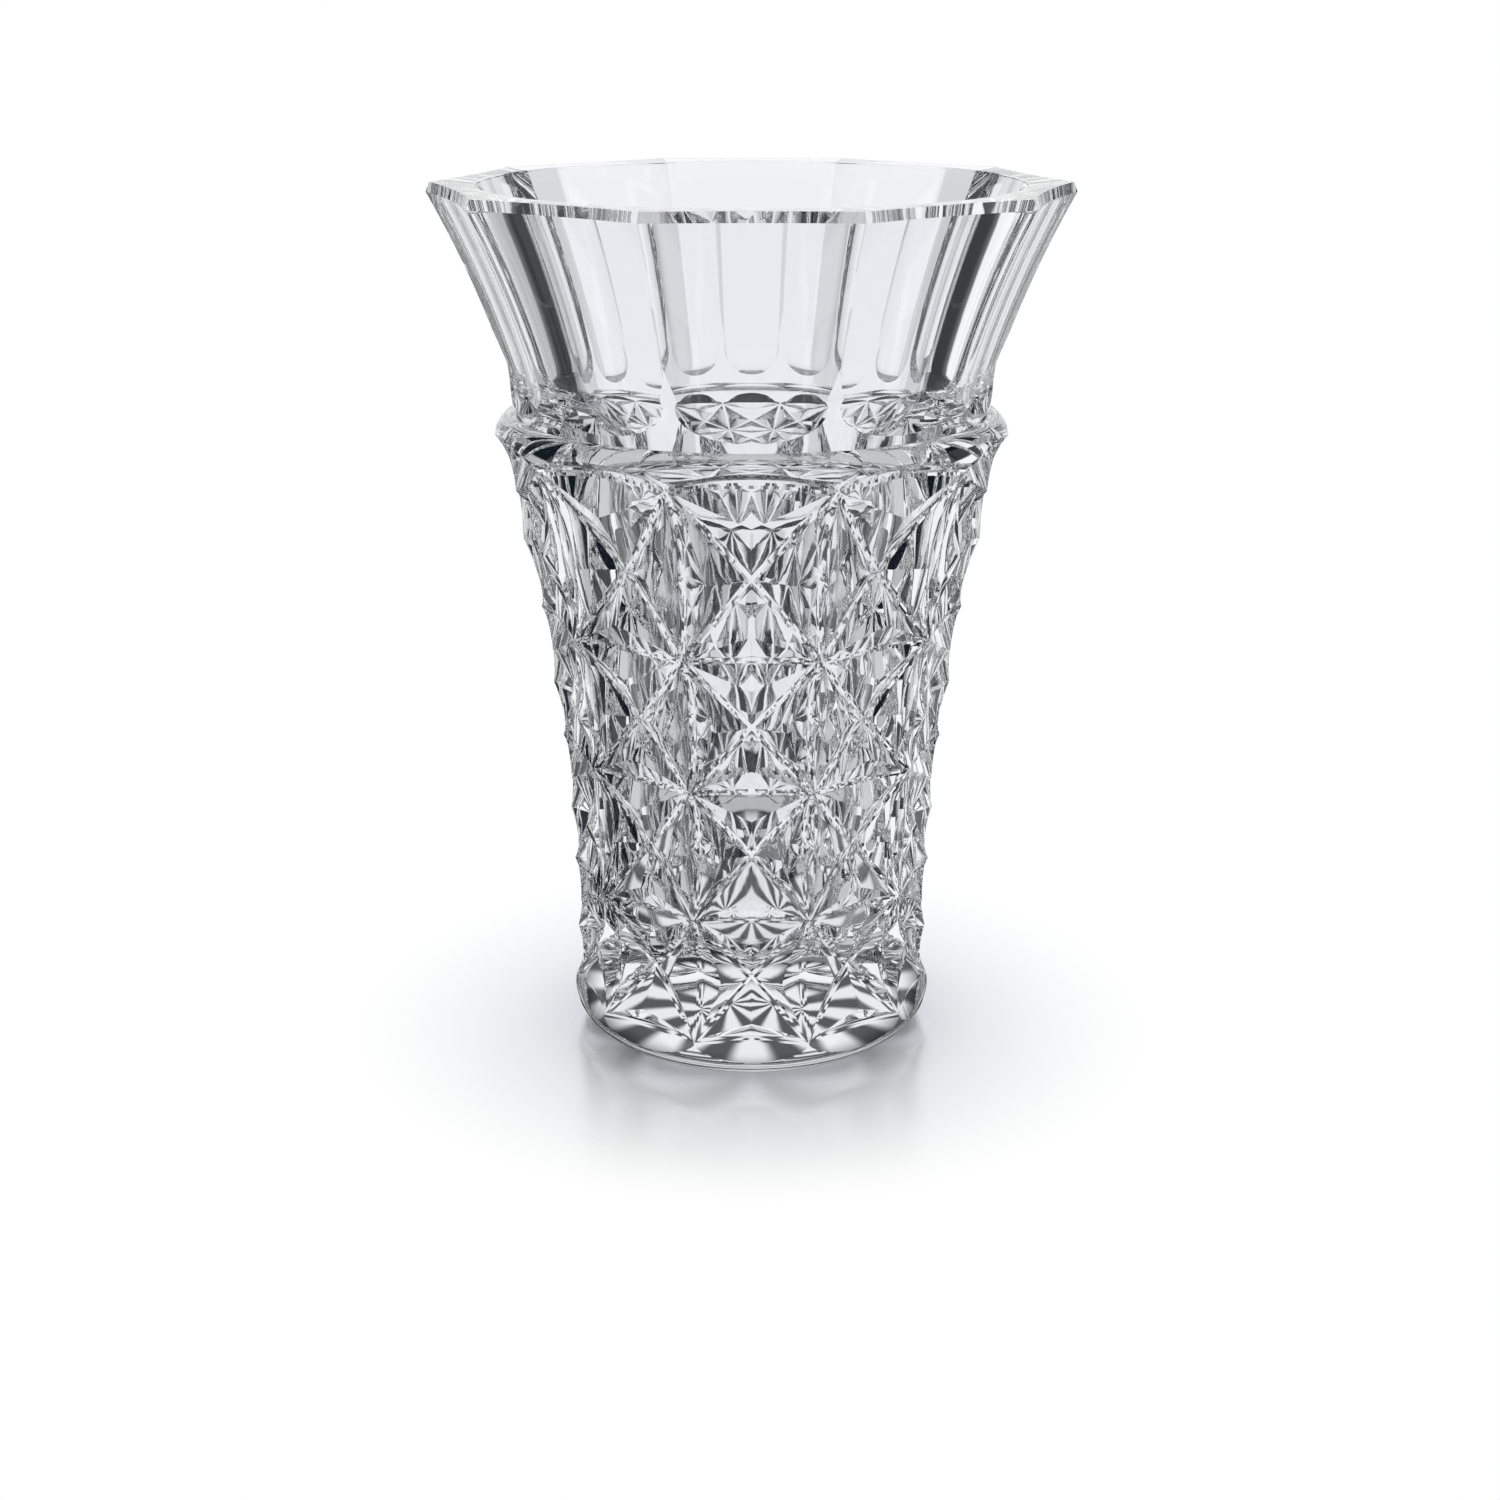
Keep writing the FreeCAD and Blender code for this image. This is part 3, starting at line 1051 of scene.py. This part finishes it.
@dataclass(frozen=True)
class Patch:
    """One soft-edged patch of light that stands in the glass, in the room or on the floor.

    The turn is in degrees, 0 straight behind the vase and growing to its right.  The reach is
    the rise over the horizon in degrees for a patch in the room, and the distance from the
    middle of the vase in metres for a patch on the floor.
    """

    turn: tuple[float, float]
    reach: tuple[float, float]
    light: float
    turn_edge: float = 3.0
    reach_edge: float = 2.0

    def add(
        self,
        tree: bpy.types.NodeTree,
        span: bpy.types.NodeTree,
        turn: bpy.types.NodeSocket,
        reach: bpy.types.NodeSocket,
    ) -> bpy.types.NodeSocket:
        """Add the patch's nodes.

        Args:
            tree: Material or world tree that gets the nodes.
            span: The soft span group.
            turn: Socket with the turn in degrees.
            reach: Socket with the rise or the distance.

        Returns:
            Socket with the patch's light.
        """
        inside = []
        for value, ends, edge in (
            (turn, self.turn, self.turn_edge),
            (reach, self.reach, self.reach_edge),
        ):
            group = add_node(
                tree,
                "ShaderNodeGroup",
                {"node_tree": span},
                {"Middle": sum(ends) / 2, "Half Width": (ends[1] - ends[0]) / 2, "Edge": edge},
                {"Value": value},
            )
            inside.append(group.outputs[0])
        both = add_node(tree, MATH, {"operation": "MULTIPLY"}, links={0: inside[0], 1: inside[1]})
        lit = add_node(tree, MATH, {"operation": "MULTIPLY"}, {1: self.light}, {0: both.outputs[0]})
        return lit.outputs[0]


@dataclass
class Studio:
    """White sweep, soft light and the camera (metres, degrees).

    The camera and the matt surfaces see plain white all round.  The glass sees a darker room
    with a lit sweep behind the vase and a strip light on either side, which is what draws its
    facets.
    """

    camera_distance: float = 0.7689
    camera_height: float = 0.3499
    camera_pitch: float = 18.277
    lens_mm: float = 57.02
    side_shift: float = -0.00106
    floor_radius: float = 6.0
    floor_sides: int = 96
    floor_white: float = 0.8
    shade_reach: tuple[float, float] = (0.054, 0.085)
    gloss: float = 0.70
    gloss_tint: str = "#EDF3F9"
    gloss_reach: tuple[float, float] = (0.052, 0.145)
    gloss_roughness: float = 0.24
    unlit: str = "#10171E"
    back_sweep: Patch = Patch((-20.0, 20.0), (-9.0, 28.0), 1.0, 12.0, 4.0)
    left_strip: Patch = Patch((-108.0, -82.0), (-9.0, 28.0), 1.0)
    right_strip: Patch = Patch((82.0, 108.0), (-9.0, 28.0), 1.0)
    right_screen: Patch = Patch((57.0, 78.0), (-9.0, 27.0), 0.50)
    star_reach: tuple[float, float] = (0.040, 0.056)
    star_wave: tuple[float, float] = (-0.7, 0.6)
    star_light: tuple[float, float] = (0.10, 0.88)
    # Patches on the floor, seen only by the glass, are painted light and shade: these two are the
    # vase's painted shadow on the sheet just around its foot, the rest are painted pools of light.
    just_behind: Patch = Patch((-35.0, 35.0), (0.056, 0.110), 0.55, 4.0, 0.008)
    just_beside: Patch = Patch((35.0, 180.0), (0.056, 0.110), 0.20, 4.0, 0.008)
    sweep_foot: Patch = Patch((-16.0, 16.0), (0.115, 9.0), 1.0, 4.0, 0.010)
    sweep_sides: Patch = Patch((-28.0, 28.0), (0.27, 9.0), 0.76, 16.0, 0.030)
    right_pool: Patch = Patch((45.0, 90.0), (0.115, 0.255), 1.0, 3.0, 0.010)
    right_floor: Patch = Patch((35.0, 80.0), (0.72, 9.0), 1.0, 3.0, 0.050)
    left_floor: Patch = Patch((-80.0, -35.0), (0.72, 9.0), 0.50, 3.0, 0.050)
    dim_room: Patch = Patch((-181.0, 181.0), (-9.0, 28.0), 0.03, 1.0, 10.0)
    dim_floor: Patch = Patch((-181.0, 181.0), (0.70, 9.0), 0.15, 1.0, 0.100)
    front_right: Patch = Patch((92.0, 180.0), (0.115, 0.70), 0.62, 3.0, 0.020)
    front_left: Patch = Patch((-180.0, -92.0), (0.115, 0.70), 0.62, 3.0, 0.020)
    span: bpy.types.NodeTree = None

    def make_camera(self) -> None:
        """Camera in front of the vase, looking slightly down."""
        data = bpy.data.cameras.new("camera")
        data.lens = self.lens_mm
        data.sensor_width = 36.0
        data.shift_x = self.side_shift
        data.clip_start, data.clip_end = 0.05, 50.0
        camera = bpy.data.objects.new("camera", data)
        camera.location = (0.0, -self.camera_distance, self.camera_height)
        camera.rotation_euler = (math.radians(90 - self.camera_pitch), 0.0, 0.0)
        bpy.context.scene.collection.objects.link(camera)
        bpy.context.scene.camera = camera

    def lit_colour(
        self,
        tree: bpy.types.NodeTree,
        parts: bpy.types.NodeOutputs,
        reach: bpy.types.NodeSocket,
        patches: tuple[Patch, ...],
        brightest: bpy.types.NodeSocket | None = None,
    ) -> bpy.types.NodeSocket:
        """Lay the patches together and colour them from unlit to white.

        Args:
            tree: Material or world tree that gets the nodes.
            parts: X and Y of the place or the direction.
            reach: Socket with the distance or the rise.
            patches: Patches of light.
            brightest: Light that is there already.

        Returns:
            Socket with the colour.
        """
        angle = add_node(tree, MATH, {"operation": "ARCTAN2"}, links={0: parts["X"], 1: parts["Y"]})
        turn = add_node(tree, MATH, {"operation": "DEGREES"}, links={0: angle.outputs[0]})
        for patch in patches:
            light = patch.add(tree, self.span, turn.outputs[0], reach)
            more = add_node(tree, MATH, {"operation": "MAXIMUM"}, {1: 0.0}, {0: light})
            if brightest is not None:
                tree.links.new(brightest, more.inputs[1])
            brightest = more.outputs[0]
        colour = add_node(
            tree,
            "ShaderNodeMix",
            {"data_type": "RGBA"},
            {"A": linear(self.unlit), "B": (1, 1, 1, 1)},
            {"Factor": brightest},
        )
        return colour.outputs["Result"]

    def seen_by_glass(self, tree: bpy.types.NodeTree) -> bpy.types.NodeSocket:
        """Tell the glass's rays from the camera's and the matt surfaces'.

        Args:
            tree: Material or world tree that gets the nodes.

        Returns:
            Socket that is 1 for rays that left a glossy or glassy surface.
        """
        path = add_node(tree, "ShaderNodeLightPath").outputs
        either = add_node(
            tree,
            MATH,
            {"operation": "MAXIMUM"},
            links={0: path["Is Glossy Ray"], 1: path["Is Transmission Ray"]},
        )
        return either.outputs[0]

    def floor_material(self) -> bpy.types.Material:
        """Build a white acrylic sheet, glossy near the vase, which fades into the white sweep; for
        the glass it glows with painted light and painted shade instead.

        Returns:
            The material.
        """
        made = bpy.data.materials.new("white acrylic sheet")
        made.use_nodes = True
        tree = made.node_tree
        tree.nodes.clear()
        place = add_node(tree, "ShaderNodeTexCoord").outputs["Object"]
        parts = add_node(tree, "ShaderNodeSeparateXYZ", links={0: place}).outputs
        distance = add_node(
            tree, "ShaderNodeVectorMath", {"operation": "LENGTH"}, links={0: place}
        ).outputs["Value"]
        # The matt sheet takes the vase's shadow; a little glow makes up for what it swallows.
        white = self.floor_white
        matt = add_node(tree, "ShaderNodeBsdfDiffuse", inputs={"Color": (white, white, white, 1)})
        glow = add_node(tree, "ShaderNodeEmission", inputs={"Strength": 1 - white})
        sheet = add_node(tree, "ShaderNodeAddShader", links={0: matt.outputs[0], 1: glow.outputs[0]})
        sweep = add_node(tree, "ShaderNodeEmission", inputs={"Strength": 1.0})
        fades = []
        for (near, far), first, last in (
            (self.shade_reach, 0.0, 1.0),
            (self.gloss_reach, self.gloss, 0.0),
            (self.star_reach, 1.0, 0.0),
        ):
            ends = {"From Min": near, "From Max": far, "To Min": first, "To Max": last}
            fade = add_node(tree, MAP_RANGE, SOFT, ends, {"Value": distance})
            fades.append(fade.outputs["Result"])
        away, close, under = fades
        ground = add_node(
            tree,
            "ShaderNodeMixShader",
            links={0: away, 1: sheet.outputs[0], 2: sweep.outputs[0]},
        )
        # The sheet's gloss mirrors the foot of the vase and is lost in the white further out.
        mirror = add_node(
            tree,
            "ShaderNodeBsdfGlossy",
            inputs={"Color": linear(self.gloss_tint), "Roughness": self.gloss_roughness},
        )
        plain = add_node(
            tree,
            "ShaderNodeMixShader",
            links={0: close, 1: ground.outputs[0], 2: mirror.outputs[0]},
        )
        # Seen by the glass, the sheet glows with painted light: pools of light painted on a dim
        # floor, and the vase's painted shadow just around its foot.
        pools = (
            self.just_behind,
            self.just_beside,
            self.sweep_foot,
            self.sweep_sides,
            self.right_pool,
            self.right_floor,
            self.left_floor,
            self.front_right,
            self.front_left,
            self.dim_floor,
        )
        # A star drawn on the sheet, one ray to a panel, stands in for the light that the cuts
        # throw down under the foot.  Only the glass sees it.
        angle = add_node(tree, MATH, {"operation": "ARCTAN2"}, links={0: parts["X"], 1: parts["Y"]})
        times = add_node(tree, MATH, {"operation": "MULTIPLY"}, {1: PANELS}, {0: angle.outputs[0]})
        wave = add_node(tree, MATH, {"operation": "COSINE"}, links={0: times.outputs[0]})
        (dim, bright), (darkest, lightest) = self.star_wave, self.star_light
        ray = add_node(
            tree,
            MAP_RANGE,
            SOFT,
            {"From Min": dim, "From Max": bright, "To Min": darkest, "To Max": lightest},
            {"Value": wave.outputs[0]},
        )
        star = add_node(
            tree,
            MATH,
            {"operation": "MULTIPLY"},
            links={0: ray.outputs["Result"], 1: under},
        )
        colour = self.lit_colour(tree, parts, distance, pools, star.outputs[0])
        pooled = add_node(tree, "ShaderNodeEmission", links={"Color": colour})
        both = add_node(
            tree,
            "ShaderNodeMixShader",
            links={0: self.seen_by_glass(tree), 1: plain.outputs[0], 2: pooled.outputs[0]},
        )
        add_node(tree, "ShaderNodeOutputMaterial", links={"Surface": both.outputs[0]})
        return made

    def make_floor(self) -> None:
        """Round sheet under the vase, wide enough to reach the horizon."""
        mesh = bmesh.new()
        bmesh.ops.create_circle(
            mesh, cap_ends=True, radius=self.floor_radius, segments=self.floor_sides
        )
        data = bpy.data.meshes.new("floor")
        mesh.to_mesh(data)
        mesh.free()
        floor = bpy.data.objects.new("floor", data)
        bpy.context.scene.collection.objects.link(floor)
        data.materials.append(self.floor_material())

    def make_world(self) -> None:
        """Plain white room; the glass sees the lit sweep and the strip lights in a dim one."""
        world = bpy.data.worlds.new("white studio")
        bpy.context.scene.world = world
        world.use_nodes = True
        tree = world.node_tree
        tree.nodes.clear()
        way = add_node(tree, "ShaderNodeTexCoord").outputs["Generated"]
        parts = add_node(tree, "ShaderNodeSeparateXYZ", links={0: way}).outputs
        slope = add_node(tree, MATH, {"operation": "ARCSINE"}, links={0: parts["Z"]})
        rise = add_node(tree, MATH, {"operation": "DEGREES"}, links={0: slope.outputs[0]})
        lamps = (
            self.back_sweep,
            self.left_strip,
            self.right_strip,
            self.right_screen,
            self.dim_room,
        )
        colour = add_node(
            tree,
            "ShaderNodeMix",
            {"data_type": "RGBA"},
            {"A": (1, 1, 1, 1)},
            {
                "Factor": self.seen_by_glass(tree),
                "B": self.lit_colour(tree, parts, rise.outputs[0], lamps),
            },
        )
        light = add_node(tree, "ShaderNodeBackground", links={"Color": colour.outputs["Result"]})
        add_node(tree, "ShaderNodeOutputWorld", links={"Surface": light.outputs[0]})

    def build(self) -> None:
        """Make the camera, the floor and the surroundings."""
        self.span = SoftSpan().tree
        self.make_camera()
        self.make_floor()
        self.make_world()
        scene = bpy.context.scene
        scene.view_settings.view_transform = "Standard"
        scene.cycles.max_bounces = 24
        scene.cycles.transmission_bounces = 24
        scene.cycles.glossy_bounces = 12
        LOG.info("studio: camera, floor and surroundings")


def main() -> None:
    """Build the vase and the studio."""
    logging.basicConfig(level=logging.INFO, format="%(name)s: %(message)s")
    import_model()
    low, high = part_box(NODE)
    Vase(corner_radius=high.x / MM, height=(high.z - low.z) / MM).build()
    Studio().build()


if __name__ == "__main__":
    main()
